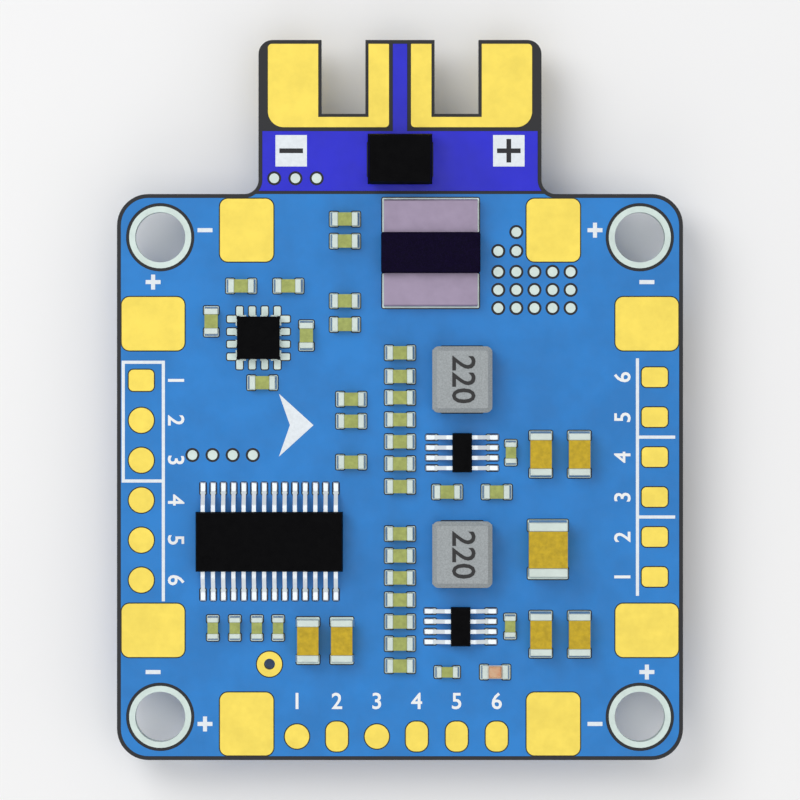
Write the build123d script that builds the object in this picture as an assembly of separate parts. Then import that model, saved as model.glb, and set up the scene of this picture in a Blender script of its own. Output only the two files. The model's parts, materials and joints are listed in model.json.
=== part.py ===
from build123d import *
import os

# A multirotor flight controller board with its power tab and every part soldered to it.
# Millimetres. The origin is the centre of the four mounting holes on the laminate's
# underside. +Z points out of the pad face, +Y towards the power tab, +X is forward.

# Laminate
board_width = 36.0
board_height = 36.0
board_thickness = 1.6
corner_radius = 2.0
hole_spacing = 30.5
hole_diameter = 3.2
hole_plating = 0.05
ring_width = 0.375
ring_margin = 0.2

# Power tab
tab_width = 18.0
tab_length = 9.8
tab_corner = 0.9
tab_root_radius = 0.9
tab_line = 0.2
slot_pitch = 7.2
slot_width = 2.8
slot_depth = 4.7
slot_margin = 0.2
battery_pad_inner = 0.7
battery_pad_side = 0.6
battery_pad_foot = 5.55
battery_pad_corner = 1.0
tab_sign_offset = 6.92
tab_sign_rise = 2.75
tab_sign_box = 2.0
tab_sign_size = 1.5
tab_sign_bar = 0.3

# Layers on the laminate
copper = 0.07
mask = 0.05
ink = 0.02
ink_line = 0.2
edge_margin = 0.25
mask_gap = 0.07
land_corner = 0.08
land_reach = 0.14
standoff = 0.05

# Motor and signal pads
motor_pad_along = 3.4
motor_pad_across = 4.0
motor_pad_to_hole = 5.5
motor_pad_corner = 0.5
motor_pad_margin = 0.3
sign_size = 0.95
sign_bar = 0.26
sign_gap = 0.2
signal_pitch = 2.54
signal_pads = 6
signal_shift = -0.2
left_pad_inset = 1.55
left_pad_diameter = 1.6
left_pad_flat = 1.35
right_pad_inset = 1.8
right_pad_width = 1.65
right_pad_height = 1.25
right_pad_corner = 0.3
bottom_pad_inset = 1.5
bottom_pad_width = 1.4
bottom_pad_height = 1.9
bottom_pad_corner = 0.6
bottom_round_diameter = 1.55

# Vias and the test eyelet
via_diameter = 0.62
via_gap = 0.14
via_pitch = 1.15
tab_via_pitch = 1.35
tab_via_rise = 1.0
header_via_pitch = 1.28
test_diameter = 1.6
test_hole = 0.7

# Gyro: a leadless package
gyro_size = 2.7
gyro_height = 0.9
gyro_pins = 4
gyro_pitch = 0.8
gyro_contact_pitch = 0.66
gyro_contact_depth = 0.24
gyro_contact_width = 0.42
gyro_land_depth = 0.6

# Display chip and regulators: packages with two rows of gull-wing leads
display_chip_length = 9.35
display_chip_width = 3.8
display_chip_height = 1.4
display_chip_span = 7.4
display_chip_pins = 14
display_chip_pitch = 0.65
regulator_length = 2.5
regulator_width = 1.25
regulator_height = 1.0
regulator_span = 4.5
regulator_pins = 4
regulator_pitch = 0.65

# Inductors, current shunt and surge clamp
inductor_length = 3.8
inductor_width = 4.2
inductor_height = 2.0
inductor_clip = 0.2
inductor_foot = 0.7
inductor_corner = 0.4
inductor_chamfer = 0.28
shunt_length = 6.3
shunt_width = 2.6
shunt_height = 1.6
shunt_foot = 2.1
shunt_foot_height = 0.8
clamp_length = 4.1
clamp_width = 3.2
clamp_height = 2.1
clamp_waist = 0.9
clamp_strip = 0.2
clamp_strip_width = 2.0
clamp_curl = 1.0

# Ceramic parts with two metal ends, and lamps
capacitor_length = 2.7
capacitor_width = 1.4
capacitor_height = 1.2
bulk_length = 3.5
bulk_width = 2.5
bulk_height = 1.8
small_length = 1.65
small_width = 0.88
small_height = 0.55
narrow_length = 1.35
narrow_width = 0.7
narrow_height = 0.45
small_end_share = 0.24
capacitor_end_share = 0.17
end_skin = 0.02
lamp_height = 0.3
lens_length = 0.8
lens_width = 0.76

# Processor, crystal and logic regulator on the underside
processor_size = 10.0
processor_height = 1.4
processor_span = 12.0
processor_pins = 16
processor_pitch = 0.5
crystal_length = 3.2
crystal_width = 2.5
crystal_base_height = 0.4
crystal_lid_height = 0.35
crystal_rim = 0.2
ldo_length = 2.9
ldo_width = 1.6
ldo_height = 1.0
ldo_span = 2.9
ldo_pitch = 0.95

# Micro-USB socket
usb_width = 7.5
usb_height = 2.45
usb_depth = 5.2
usb_wall = 0.25
usb_slope = 1.0
usb_back = 1.1
usb_foot = 0.45
usb_foot_length = 1.1
tongue_width = 3.7
tongue_thickness = 0.6

# Boot button: the base is as tall as the stack of pieces and the travel inside it
button_length = 4.0
button_width = 3.0
button_floor = 0.4
button_travel = 0.25
button_spare = 0.18
button_dome = 0.08
button_flange = 0.25
button_play = 0.02
button_stem_radius = 0.75
button_stem_height = 0.72
button_clearance = 0.05
button_cover = 0.15
button_leg = 0.7
button_leg_pitch = 1.8

# Memory card and its socket
card_length = 15.0
card_width = 11.0
card_thickness = 0.7
card_lip = 0.3
card_clearance = 0.1
card_overhang = 1.2
card_lift = 0.25
card_edge_gap = 0.1
card_pins = 8
card_pin_pitch = 1.1
socket_wall = 0.2
socket_floor = 0.35
socket_rail = 1.4
socket_stop = 0.9
socket_well = 0.1
socket_well_length = 7.2
socket_spring_length = 5.6

# Clear space between neighbours on the underside
usb_socket_gap = 0.4
button_gap = 2.65
ldo_gap = 1.15
processor_gap = 2.4

# Formed leads
lead_thickness = 0.15
lead_foot = 0.5
lead_width = 0.26
high_shoulder = 0.75
low_shoulder = 0.5

# Sizes that follow from the ones above
half_width = board_width / 2
half_height = board_height / 2
tab_top = half_height + tab_length
tab_foot = tab_top - battery_pad_foot
ring_diameter = hole_diameter + 2 * ring_width
hole_offset = hole_spacing / 2
sign_offset = hole_offset - ring_diameter / 2 - ring_margin - sign_gap - sign_size / 2
button_base_height = (button_floor + button_travel + button_spare + button_dome + button_flange
                      + 2 * button_play)
socket_length = card_length - card_overhang + socket_stop + card_clearance
socket_width = card_width + 2 * card_clearance + 2 * socket_rail
socket_height = card_lift + card_thickness + card_clearance
card_floor = copper + socket_floor + card_lift

display_chip = (display_chip_length, display_chip_width, display_chip_height)
regulator = (regulator_length, regulator_width, regulator_height)
processor = (processor_size, processor_size, processor_height)
ldo = (ldo_length, ldo_width, ldo_height)
capacitor = (capacitor_length, capacitor_width, capacitor_height)
bulk = (bulk_length, bulk_width, bulk_height)
small = (small_length, small_width, small_height)
narrow = (narrow_length, narrow_width, narrow_height)
lamp_base = (small_length, small_width, lamp_height)

# Places on the pad face: x, y and the turn in degrees
gyro_place = (-9.0, 8.85, 0)
display_chip_place = (-8.3, -4.1, 0)
shunt_place = (1.95, 14.25, 0)
clamp_place = (0.0, half_height + 2.2, 0)
inductor_places = [(3.95, 6.2, 0), (3.95, -4.9, 0)]
regulator_places = [(3.95, 1.55, 0), (3.85, -9.5, 0)]
test_place = (-8.3, -11.9)
bulk_place = (9.4, -4.6, 90)
lamp_place = (6.05, -12.4, 0)
small_places = [(0, y, 0) for y in (7.9, 6.4, 5.05, 3.65, 2.25, 0.85, -0.6)]
small_places += [(0, y, 0) for y in (-3.6, -5.0, -6.4, -7.8, -9.2, -10.6, -12.0)]
small_places += [(-3.5, y, 0) for y in (16.4, 15.0, 11.2, 9.7)]
small_places += [(-3.1, y, 0) for y in (4.95, 3.55, 0.95)]
small_places += [(-10.1, 12.15, 0), (-7.1, 12.15, 0), (-8.75, 6.0, 0), (-12.0, 9.9, 90), (-5.95, 9.0, 90)]
small_places += [(3.0, -0.95, 0), (6.15, -0.95, 0)]
narrow_places = [(x, -9.6, 90) for x in (-11.9, -10.5, -9.1, -7.75)]
narrow_places += [(7.05, 1.55, 90), (7.0, -9.5, 90), (3.0, -12.4, 0)]
capacitor_places = [(x, y, 90) for x in (8.95, 11.4) for y in (1.45, -10.0)]
capacitor_places += [(-5.85, -10.4, 90), (-3.7, -10.4, 90)]

# Places on the underside, in the same frame. The port and the card socket share the
# forward edge, and together they are centred between its two mounting holes.
usb_x = half_width - edge_margin
edge_row = usb_width + 2 * usb_foot + usb_socket_gap + socket_width + 2 * socket_wall
usb_y = edge_row / 2 - usb_foot - usb_width / 2
usb_place = (usb_x, usb_y, 0)
socket_y = usb_y - usb_width / 2 - usb_foot - usb_socket_gap - socket_wall - socket_width / 2
socket_x = half_width - card_edge_gap - card_overhang - socket_length / 2
socket_place = (socket_x, socket_y, 0)
card_place = (half_width - card_edge_gap - card_length, socket_y, 0)
button_x = usb_x - usb_depth - button_gap - button_leg - button_length / 2
button_place = (button_x, 9.0, 0)
ldo_place = (button_x - button_length / 2 - button_leg - ldo_gap - ldo_length / 2, 8.9, 0)
processor_x = socket_x - socket_length / 2 - processor_gap - processor_span / 2
processor_y = 2.5
processor_place = (processor_x, processor_y, 0)
crystal_place = (processor_x - 2.1, 11.4, 0)
beside_processor = processor_span / 2 + 1.6
underside_places = [(processor_x - beside_processor, processor_y + offset, 90) for offset in (3.1, -3.1)]
underside_places += [(processor_x + offset, processor_y - beside_processor, 0) for offset in (-3.3, 0, 3.3)]
underside_places += [(processor_x + 2.9, processor_y + beside_processor, 0)]
underside_lamps = [(button_x + offset, 13.0, 0) for offset in (-3.6, -0.6)]

os.makedirs("parts", exist_ok=True)


# ---- helpers --------------------------------------------------------------------------

def save(name, shapes):
    """Write one node; a list of shapes stays separate solids."""
    solids = [solid for shape in shapes for solid in shape.solids()]
    export_step(Compound(children=solids, label=name), f"parts/{name}.step")


def on_top(shape, x, y, turn):
    return Pos(x, y, board_thickness) * Rot(0, 0, turn) * shape


def on_underside(shape, x, y, turn):
    return Pos(x, y, 0) * Rot(180, 0, 0) * Rot(0, 0, turn) * shape


def spread(shapes, places, put=on_top):
    return [put(shape, *place) for place in places for shape in shapes]


def block(length, width, height, x=0.0, y=0.0, z=0.0):
    """A box that stands on z."""
    return Pos(x, y, z) * Box(length, width, height, align=(Align.CENTER, Align.CENTER, Align.MIN))


def disc(radius, height, x=0.0, y=0.0, z=0.0):
    return Pos(x, y, z) * Cylinder(radius, height, align=(Align.CENTER, Align.CENTER, Align.MIN))


def row(count, pitch):
    """Places along a line, centred on zero."""
    return [(index - (count - 1) / 2) * pitch for index in range(count)]


def pair(shape, plane):
    return [shape, mirror(shape, about=plane)]


def union(sketches):
    total = sketches[0]
    for sketch in sketches[1:]:
        total += sketch
    return total


def raised(faces, thickness=copper, z=board_thickness):
    return [Pos(0, 0, z) * extrude(face, thickness) for face in faces]


def lowered(faces, thickness=copper, z=0.0):
    return [Pos(0, 0, z - thickness) * extrude(face, thickness) for face in faces]


# ---- laminate -------------------------------------------------------------------------

def outline(inset=0.0):
    """The board's edge, moved inwards by inset."""
    x, y = half_width - inset, half_height - inset
    tab_x, tab_y = tab_width / 2 - inset, tab_top - inset
    outer, tip, root = corner_radius - inset, tab_corner - inset, tab_root_radius + inset
    points = [(-x, -y), (x, -y), (x, y), (tab_x, y), (tab_x, tab_y), (-tab_x, tab_y), (-tab_x, y), (-x, y)]
    radii = [outer, outer, outer, root, tip, tip, root, outer]
    return make_face(FilletPolyline(*points, radius=radii, close=True))


def slots(margin=0.0):
    """The two open slots that take the pins of a battery plug."""
    depth = slot_depth + margin
    shape = Pos(0, tab_top - depth / 2 + 1) * Rectangle(slot_width + 2 * margin, depth + 2)
    return union([Pos(side * slot_pitch / 2, 0) * shape for side in (-1, 1)])


def hole_places():
    return [(x * hole_offset, y * hole_offset) for x in (-1, 1) for y in (-1, 1)]


def holes(diameter):
    return union([Pos(x, y) * Circle(diameter / 2) for x, y in hole_places()])


def circuit_board():
    face = outline() - slots() - holes(hole_diameter + 2 * hole_plating)
    face -= Pos(*test_place) * Circle(test_hole / 2 + hole_plating)
    return extrude(face, board_thickness)


def eyelet(outer, bore):
    """A plated hole: a barrel with a flange on each face."""
    flange = disc(outer / 2, copper)
    barrel = disc(bore / 2 + hole_plating, board_thickness)
    shape = barrel + Pos(0, 0, board_thickness) * flange + Pos(0, 0, -copper) * flange
    return shape - disc(bore / 2, board_thickness + 2, z=-1)


# ---- pads: grow widens a pad's face into its mask opening --------------------------------

def pad_face(x, y, width, height, corner, grow=0.0):
    return Pos(x, y) * RectangleRounded(width + 2 * grow, height + 2 * grow, corner + grow)


def motor_pads():
    """Eight pads, two by each mounting hole: x, y, width, height, polarity."""
    pads = []
    along, across = motor_pad_along, motor_pad_across
    offset, inset = hole_offset - motor_pad_to_hole, motor_pad_margin + across / 2
    for x_side in (-1, 1):
        for y_side in (-1, 1):
            polarity = x_side * y_side
            pads.append((x_side * offset, y_side * (half_height - inset), along, across, polarity))
            pads.append((x_side * (half_width - inset), y_side * offset, across, along, -polarity))
    return pads


def motor_faces(polarities=(-1, 1), grow=0.0):
    return [pad_face(x, y, width, height, motor_pad_corner, grow)
            for x, y, width, height, polarity in motor_pads() if polarity in polarities]


def battery_face(side, grow=0.0):
    """The outline of the U round one slot."""
    top, foot = tab_top - edge_margin + grow, tab_foot - grow
    inner, outer = battery_pad_inner - grow, tab_width / 2 - battery_pad_side + grow
    points = [(inner, top), (inner, foot), (outer, foot), (outer, top)]
    face = make_face(FilletPolyline(*points, radius=[0.05, 0.25, battery_pad_corner, 0.25], close=True))
    return face if side > 0 else mirror(face, about=Plane.YZ)


def battery_pads(side):
    face = battery_face(side) - slots(slot_margin)
    return raised([face]) + lowered([face])


def left_faces(grow=0.0):
    """Round pads; the first one is flattened, to mark the row's start."""
    x = left_pad_inset - half_width
    places = [(x, y + signal_shift) for y in row(signal_pads, -signal_pitch)]
    first = pad_face(*places[0], left_pad_diameter, left_pad_flat, right_pad_corner, grow)
    return [first] + [Pos(*place) * Circle(left_pad_diameter / 2 + grow) for place in places[1:]]


def right_faces(grow=0.0):
    x = half_width - right_pad_inset
    return [pad_face(x, y, right_pad_width, right_pad_height, right_pad_corner, grow)
            for y in row(signal_pads, signal_pitch)]


def bottom_faces(grow=0.0):
    """Pads by the lower edge: the first and third are round."""
    faces = []
    for index, x in enumerate(row(signal_pads, signal_pitch)):
        place = (x + signal_shift, bottom_pad_inset - half_height)
        if index in (0, 2):
            faces.append(Pos(*place) * Circle(bottom_round_diameter / 2 + grow))
        else:
            faces.append(pad_face(*place, bottom_pad_width, bottom_pad_height, bottom_pad_corner, grow))
    return faces


def main_via_faces(grow=0.0):
    """The stitching field by the shunt and the row of four by the header."""
    field = [(column, line) for column in range(5) for line in range(3)] + [(0, 3.15), (1, 3.15), (1, 4.2)]
    places = [(6.25 + column * via_pitch, 10.75 + line * via_pitch) for column, line in field]
    places += [(-13.2 + index * header_via_pitch, 1.4) for index in range(4)]
    return [Pos(*place) * Circle(via_diameter / 2 + grow) for place in places]


def tab_via_faces(grow=0.0):
    y = half_height + tab_via_rise
    return [Pos(-8.0 + index * tab_via_pitch, y) * Circle(via_diameter / 2 + grow) for index in range(3)]


def test_face(grow=0.0):
    return Pos(*test_place) * Circle(test_diameter / 2 + grow)


# ---- ceramic parts with two metal ends --------------------------------------------------

def chip_body(size, share=small_end_share):
    length, width, height = size
    skin = 2 * end_skin
    return block(length * (1 - 2 * share), width - skin, height - skin, z=copper + end_skin)


def chip_ends(size, share=small_end_share):
    length, width, height = size
    cap = share * length
    end = block(cap, width, height, z=copper)
    end = fillet(end.edges(), min(cap, width, height) * 0.14)
    return pair(Pos((length - cap) / 2, 0, 0) * end, Plane.YZ)


def chip_lands(size, places, share=small_end_share):
    """Two lands for each part, each a little wider and longer than the metal end on it."""
    length, width, _ = size
    along, across = share * length + land_reach, width + 0.06
    out = (length - share * length + land_reach) / 2
    lands = []
    for x, y, turn in places:
        for side in (-out, out):
            lands.append((x, y + side, across, along) if turn else (x + side, y, along, across))
    return lands


def lamp_lens():
    """The clear block on a lamp's base."""
    lens = block(lens_length, lens_width, lamp_height, z=copper + lamp_height - end_skin)
    return fillet(lens.edges().group_by(Axis.Z)[-1], 0.1)


# ---- packages with leads ----------------------------------------------------------------

def moulded(size, shoulder, mark):
    """A moulded body that tapers up and down from the band where its leads leave."""
    length, width, height = size
    band = lead_thickness + 0.04
    low = copper + shoulder - band / 2
    high, top = low + band, copper + height
    face = Rectangle(length, width)
    body = Pos(0, 0, low) * extrude(face, band)
    body += Pos(0, 0, high) * extrude(face, top - high, taper=8)
    body += Pos(0, 0, low) * extrude(face, copper + standoff - low, taper=8)
    inset = 2.4 * mark
    return body - disc(mark, 0.2, inset - length / 2, inset - width / 2, top - 0.04)


def gull_lead(start, end, shoulder, width, foot):
    """One formed lead in the XZ plane, from the body's side out and down to its land."""
    high, low = copper + shoulder, copper + lead_thickness / 2
    slope = end - foot - start
    points = [(start, 0, high), (start + 0.3 * slope, 0, high), (end - foot, 0, low), (end, 0, low)]
    path = FilletPolyline(*points, radius=min(lead_thickness, 0.35 * slope))
    section = Plane(points[0], x_dir=(0, 1, 0), z_dir=(1, 0, 0)) * Rectangle(width, lead_thickness)
    return sweep(section, path)


def lead_rows(body_width, span, shoulder, count, pitch, width=lead_width, sides=(0, 180), foot=lead_foot):
    lead = gull_lead(body_width / 2, span / 2, shoulder, width, foot)
    return [Rot(0, 0, side) * Pos(0, y, 0) * lead for side in sides for y in row(count, pitch)]


def row_lands(place, span, count, pitch, width, depth, sides):
    """Lands in rows round a package, with their outer ends span apart: x, y, width, height."""
    lands = []
    out = (span - depth) / 2
    for side in sides:
        for along in row(count, pitch):
            x, y, size = {0: (out, along, (depth, width)), 90: (along, out, (width, depth)),
                          180: (-out, along, (depth, width)), 270: (along, -out, (width, depth))}[side]
            lands.append((place[0] + x, place[1] + y, *size))
    return lands


def gyro_body():
    body = block(gyro_size, gyro_size, gyro_height - standoff, z=copper + standoff)
    body = fillet(body.edges().filter_by(Axis.Z), 0.08)
    corner = gyro_size / 2 - 0.42
    return body - disc(0.16, 0.2, -corner, corner, copper + gyro_height - 0.03)


def gyro_contacts():
    """Leadless contacts that show a little past the body's edge and reach their lands."""
    x = gyro_size / 2 + 0.1 - gyro_contact_depth / 2
    pad = block(gyro_contact_depth, gyro_contact_width, standoff, x=x, z=copper)
    return [Rot(0, 0, side) * Pos(0, y, 0) * pad for side in (0, 90, 180, 270)
            for y in row(gyro_pins, gyro_contact_pitch)]


# ---- power parts ------------------------------------------------------------------------

def shunt_body():
    body = block(shunt_length, shunt_width, shunt_height, z=copper)
    return fillet(body.edges().group_by(Axis.Z)[-1] + body.edges().filter_by(Axis.Z), 0.15)


def shunt_feet():
    """Solid metal feet on both sides of the resistive strip."""
    middle = (shunt_width + shunt_foot) / 2
    foot = block(shunt_length - 0.35, shunt_foot, shunt_foot_height, y=middle, z=copper)
    foot = fillet(foot.edges().group_by(Axis.Y)[-1].filter_by(Axis.X), 0.15)
    return pair(foot, Plane.XZ)


def inductor_body():
    """A square moulded block whose foot is narrower, to leave room for its clips."""
    foot = block(inductor_length, inductor_width - 2 * inductor_clip, inductor_foot - standoff,
                 z=copper + standoff)
    cap = block(inductor_length, inductor_width, inductor_height - inductor_foot, z=copper + inductor_foot)
    cap = fillet(cap.edges().filter_by(Axis.Z), inductor_corner)
    return foot + chamfer(cap.edges().group_by(Axis.Z)[-1], inductor_chamfer)


def inductor_clips():
    """Plated clips under two opposite sides."""
    middle = (inductor_width - inductor_clip) / 2
    return pair(block(inductor_length * 0.62, inductor_clip, inductor_foot, y=middle, z=copper), Plane.XZ)


def clamp_body():
    """A surge clamp whose upper half overhangs the strips at its ends."""
    cap = extrude(Rectangle(clamp_length, clamp_width), clamp_height - clamp_waist, taper=6)
    foot = block(clamp_length - 2 * clamp_strip, clamp_width, clamp_waist - 0.3, z=copper + 0.3)
    return Pos(0, 0, copper + clamp_waist) * cap + foot


def clamp_strips():
    """Strips that leave the body at its waist and curl under its ends."""
    strip = block(clamp_strip, clamp_strip_width, clamp_waist, x=(clamp_length - clamp_strip) / 2, z=copper)
    curl = block(clamp_curl, clamp_strip_width, clamp_strip, x=(clamp_length - clamp_curl) / 2, z=copper)
    bent = strip + curl
    corner = bent.edges().filter_by(Axis.Y).group_by(Axis.X)[-1].group_by(Axis.Z)[0]
    return pair(fillet(corner, 0.12), Plane.YZ)


# ---- underside parts --------------------------------------------------------------------

def crystal_base():
    base = block(crystal_length, crystal_width, crystal_base_height, z=copper)
    return fillet(base.edges().filter_by(Axis.Z), 0.12)


def crystal_lid():
    lid = block(crystal_length - 2 * crystal_rim, crystal_width - 2 * crystal_rim, crystal_lid_height,
                z=copper + crystal_base_height)
    return fillet(lid.edges().filter_by(Axis.Z) + lid.edges().group_by(Axis.Z)[-1], 0.12)


def usb_profile(inset=0.0):
    """Section of the socket: wide by the board, narrower at its far side."""
    half, top = usb_width / 2 - inset, copper + usb_height - inset
    low, knee, flat = copper + inset, top - usb_slope, half - usb_slope
    points = [(-half, low), (half, low), (half, knee), (flat, top), (-flat, top), (-half, knee)]
    return Plane.YZ * make_face(FilletPolyline(*points, radius=0.3, close=True))


def usb_foot_offsets():
    return (-1.2, 1.3 - usb_depth)


def usb_shell():
    """Sheet metal shell with its mouth at x = 0, four feet and two latch windows."""
    shell = Pos(-usb_depth, 0, 0) * extrude(usb_profile(), usb_depth)
    shell -= Pos(usb_wall - usb_depth, 0, 0) * extrude(usb_profile(usb_wall), usb_depth)
    window = block(1.5, 0.8, 2 * usb_wall, x=-1.9, y=usb_width / 5, z=copper + usb_height - 1.5 * usb_wall)
    shell -= pair(window, Plane.XZ)
    foot = block(usb_foot_length, usb_foot + 0.05, usb_wall, y=(usb_width + usb_foot - 0.05) / 2, z=copper)
    for x in usb_foot_offsets():
        shell += pair(Pos(x, 0, 0) * foot, Plane.XZ)
    return shell


def usb_block():
    """Insulator at the back of the shell with the tongue that carries the contacts."""
    back = Pos(usb_wall - usb_depth, 0, 0) * extrude(usb_profile(usb_wall), usb_back)
    reach = usb_depth - usb_wall - usb_back - 0.5
    return back + block(reach, tongue_width, tongue_thickness, x=-0.5 - reach / 2, z=copper + 0.75)


def usb_contacts():
    reach = usb_depth - usb_wall - usb_back - 0.8
    strip = block(reach, 0.3, 0.08, x=-0.8 - reach / 2, z=copper + 0.75 + tongue_thickness)
    return [Pos(0, y, 0) * strip for y in row(5, 0.65)]


button_top = copper + button_base_height
button_bore = button_stem_radius + 0.5


def button_base():
    base = block(button_length, button_width, button_base_height, z=copper)
    base = fillet(base.edges().filter_by(Axis.Z), 0.2)
    return base - disc(button_bore, button_base_height, z=copper + button_floor)


def button_cover_plate():
    """Metal plate with two sides that hook over the base."""
    cover = block(button_length, button_width, button_cover, z=button_top)
    cover = fillet(cover.edges().filter_by(Axis.Z), 0.2)
    side = block(button_length * 0.45, button_cover, 0.8, y=(button_width + button_cover) / 2,
                 z=button_top + button_cover - 0.8)
    cover += pair(side, Plane.XZ)
    return cover - disc(button_stem_radius + button_clearance, 1, z=button_top - 0.5)


def button_plunger():
    rest = button_top - button_play
    flange = disc(button_bore - 0.25, button_flange, z=rest - button_flange)
    stem = disc(button_stem_radius, button_stem_height, z=rest)
    return flange + fillet(stem.edges().group_by(Axis.Z)[-1], 0.12)


def button_snap_dome():
    """Snap disc under the plunger, with the travel and a little more below it."""
    return disc(button_bore - 0.1, button_dome, z=copper + button_floor + button_travel + button_spare)


def button_legs():
    leg = block(button_leg, 0.7, 0.2, x=(button_length + button_leg) / 2, z=copper)
    return [shape for y in row(2, button_leg_pitch) for shape in pair(Pos(0, y, 0) * leg, Plane.YZ)]


def socket_base():
    """Plastic floor, side rails and back stop of the card socket."""
    floor_top = copper + socket_floor
    floor = block(socket_length, socket_width, socket_floor, z=copper)
    rail = block(socket_length, socket_rail, socket_height, y=(socket_width - socket_rail) / 2, z=floor_top)
    stop = block(socket_stop, socket_width, socket_height, x=(socket_stop - socket_length) / 2, z=floor_top)
    well = block(socket_well_length, card_pins * card_pin_pitch + 0.2, 1, x=-1.0, z=floor_top - socket_well)
    return floor + pair(rail, Plane.XZ) + stop - well


def socket_shell():
    """Sheet metal cover with folded sides and two spring tongues cut from it."""
    inside = socket_floor + socket_height
    shell = block(socket_length, socket_width + 2 * socket_wall, inside + socket_wall, z=copper)
    shell -= block(socket_length + 2, socket_width, inside, z=copper)
    top, y = copper + inside, card_width * 0.31
    slit = block(5.0, 1.3, 1, x=1.5, y=y, z=top - 0.5) - block(4.6, 0.8, 2, x=1.2, y=y, z=top - 1)
    return shell - pair(slit, Plane.XZ)


def socket_contacts():
    """Spring strips that lie in the floor's well."""
    strip = block(socket_spring_length, 0.6, 0.12, x=-1.0, z=copper + socket_floor - socket_well)
    return [Pos(0, y, 0) * strip for y in row(card_pins, card_pin_pitch)]


def memory_card():
    """Card with a notched long side and a grip lip at its outer end; x = 0 is its inner end."""
    half = card_width / 2
    points = [(0, -half), (card_length, -half), (card_length, half), (8.6, half), (8.0, half - 0.6),
              (6.4, half - 0.6), (6.4, half), (5.2, half), (4.0, half - 0.8), (0, half - 0.8)]
    card = extrude(make_face(Polyline(*points, close=True)), card_thickness)
    lip = block(0.7, card_width, card_lip, x=card_length - 0.45, z=card_thickness)
    return Pos(0, 0, card_floor) * (card + lip)


def card_contacts():
    strip = block(2.6, 0.8, 0.03, x=1.9, z=card_floor - 0.03)
    return [Pos(0, y, 0) * strip for y in row(card_pins, card_pin_pitch)]


# ---- lands, masks and ink -----------------------------------------------------------------

def top_lands():
    """Lands under the parts of the main board: x, y, width, height."""
    lands = chip_lands(small, small_places + [lamp_place]) + chip_lands(narrow, narrow_places)
    lands += chip_lands(capacitor, capacitor_places, capacitor_end_share)
    lands += chip_lands(bulk, [bulk_place], capacitor_end_share)
    lands += row_lands(gyro_place, gyro_size + 2 * gyro_land_depth + 0.1, gyro_pins, gyro_pitch,
                       gyro_contact_width, gyro_land_depth, (0, 90, 180, 270))
    land_width, land_depth = lead_width + 0.1, lead_foot + 0.25
    lands += row_lands(display_chip_place, display_chip_span + 0.1, display_chip_pins, display_chip_pitch,
                       land_width, land_depth, (90, 270))
    for place in regulator_places:
        lands += row_lands(place, regulator_span + 0.1, regulator_pins, regulator_pitch, land_width,
                           land_depth, (0, 180))
    for place in inductor_places:
        lands += row_lands(place, inductor_width, 1, 1, inductor_length * 0.7, 1.0, (90, 270))
    lands += row_lands(shunt_place, shunt_width + 2 * shunt_foot + 0.2, 1, 1, shunt_length - 0.15,
                       shunt_foot + 0.1, (90, 270))
    return lands


def tab_lands():
    return row_lands(clamp_place, clamp_length, 1, 1, clamp_strip_width + 0.2, clamp_curl + 0.1, (0, 180))


def underside_lands():
    lands = chip_lands(small, underside_places + underside_lamps)
    lands += row_lands(processor_place, processor_span + 0.2, processor_pins, processor_pitch, 0.28,
                       lead_foot + 0.35, (0, 90, 180, 270))
    lands += row_lands(ldo_place, ldo_span + 0.3, 1, 1, 0.9, 0.8, (90,))
    lands += row_lands(ldo_place, ldo_span + 0.3, 3, ldo_pitch, 0.55, 0.8, (270,))
    lands += row_lands(crystal_place, crystal_length + 0.2, 2, 1.7, 1.0, 1.2, (0, 180))
    lands += row_lands(button_place, button_length + 2 * button_leg + 0.2, 2, button_leg_pitch, 0.9,
                       button_leg + 0.25, (0, 180))
    for x in usb_foot_offsets():
        lands += row_lands((usb_x + x, usb_y), usb_width + 2 * usb_foot + 0.3, 1, 1, usb_foot_length + 0.2,
                           0.9, (90, 270))
    return lands


def land_faces(lands, grow=0.0):
    return [pad_face(x, y, width, height, land_corner, grow) for x, y, width, height in lands]


def main_mask():
    area = outline(edge_margin) - Pos(0, half_height + tab_length) * Rectangle(board_width, 2 * tab_length)
    openings = [holes(ring_diameter + 2 * ring_margin), test_face(mask_gap)]
    openings += motor_faces(grow=mask_gap) + left_faces(mask_gap) + right_faces(mask_gap)
    openings += bottom_faces(mask_gap) + main_via_faces(via_gap) + land_faces(top_lands(), mask_gap)
    return raised([area - openings], mask)


def sign_face(x, y, positive, size=sign_size, bar=sign_bar):
    """A plus or minus mark."""
    mark = Pos(x, y) * Rectangle(size, bar)
    return mark + Pos(x, y) * Rectangle(bar, size) if positive else mark


def tab_signs():
    """The power tab's minus and plus."""
    y = half_height + tab_sign_rise
    return [sign_face(side * tab_sign_offset, y, side > 0, tab_sign_size, tab_sign_bar) for side in (-1, 1)]


def tab_mask():
    low, foot, top = half_height + tab_line, tab_foot - edge_margin, tab_top - edge_margin
    area = outline(edge_margin) & Pos(0, (low + foot) / 2) * Rectangle(tab_width, foot - low)
    area += Pos(0, (foot + top) / 2) * Rectangle(2 * (battery_pad_inner - edge_margin), top - foot)
    openings = tab_signs() + tab_via_faces(via_gap) + land_faces(tab_lands(), mask_gap)
    return raised([area - openings], mask)


def bottom_mask():
    area = outline(edge_margin) - slots(slot_margin) - holes(ring_diameter + 2 * ring_margin)
    openings = [test_face(mask_gap)] + [battery_face(side, edge_margin) for side in (-1, 1)]
    openings += land_faces(underside_lands(), mask_gap)
    return lowered([area - openings], mask)


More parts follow.
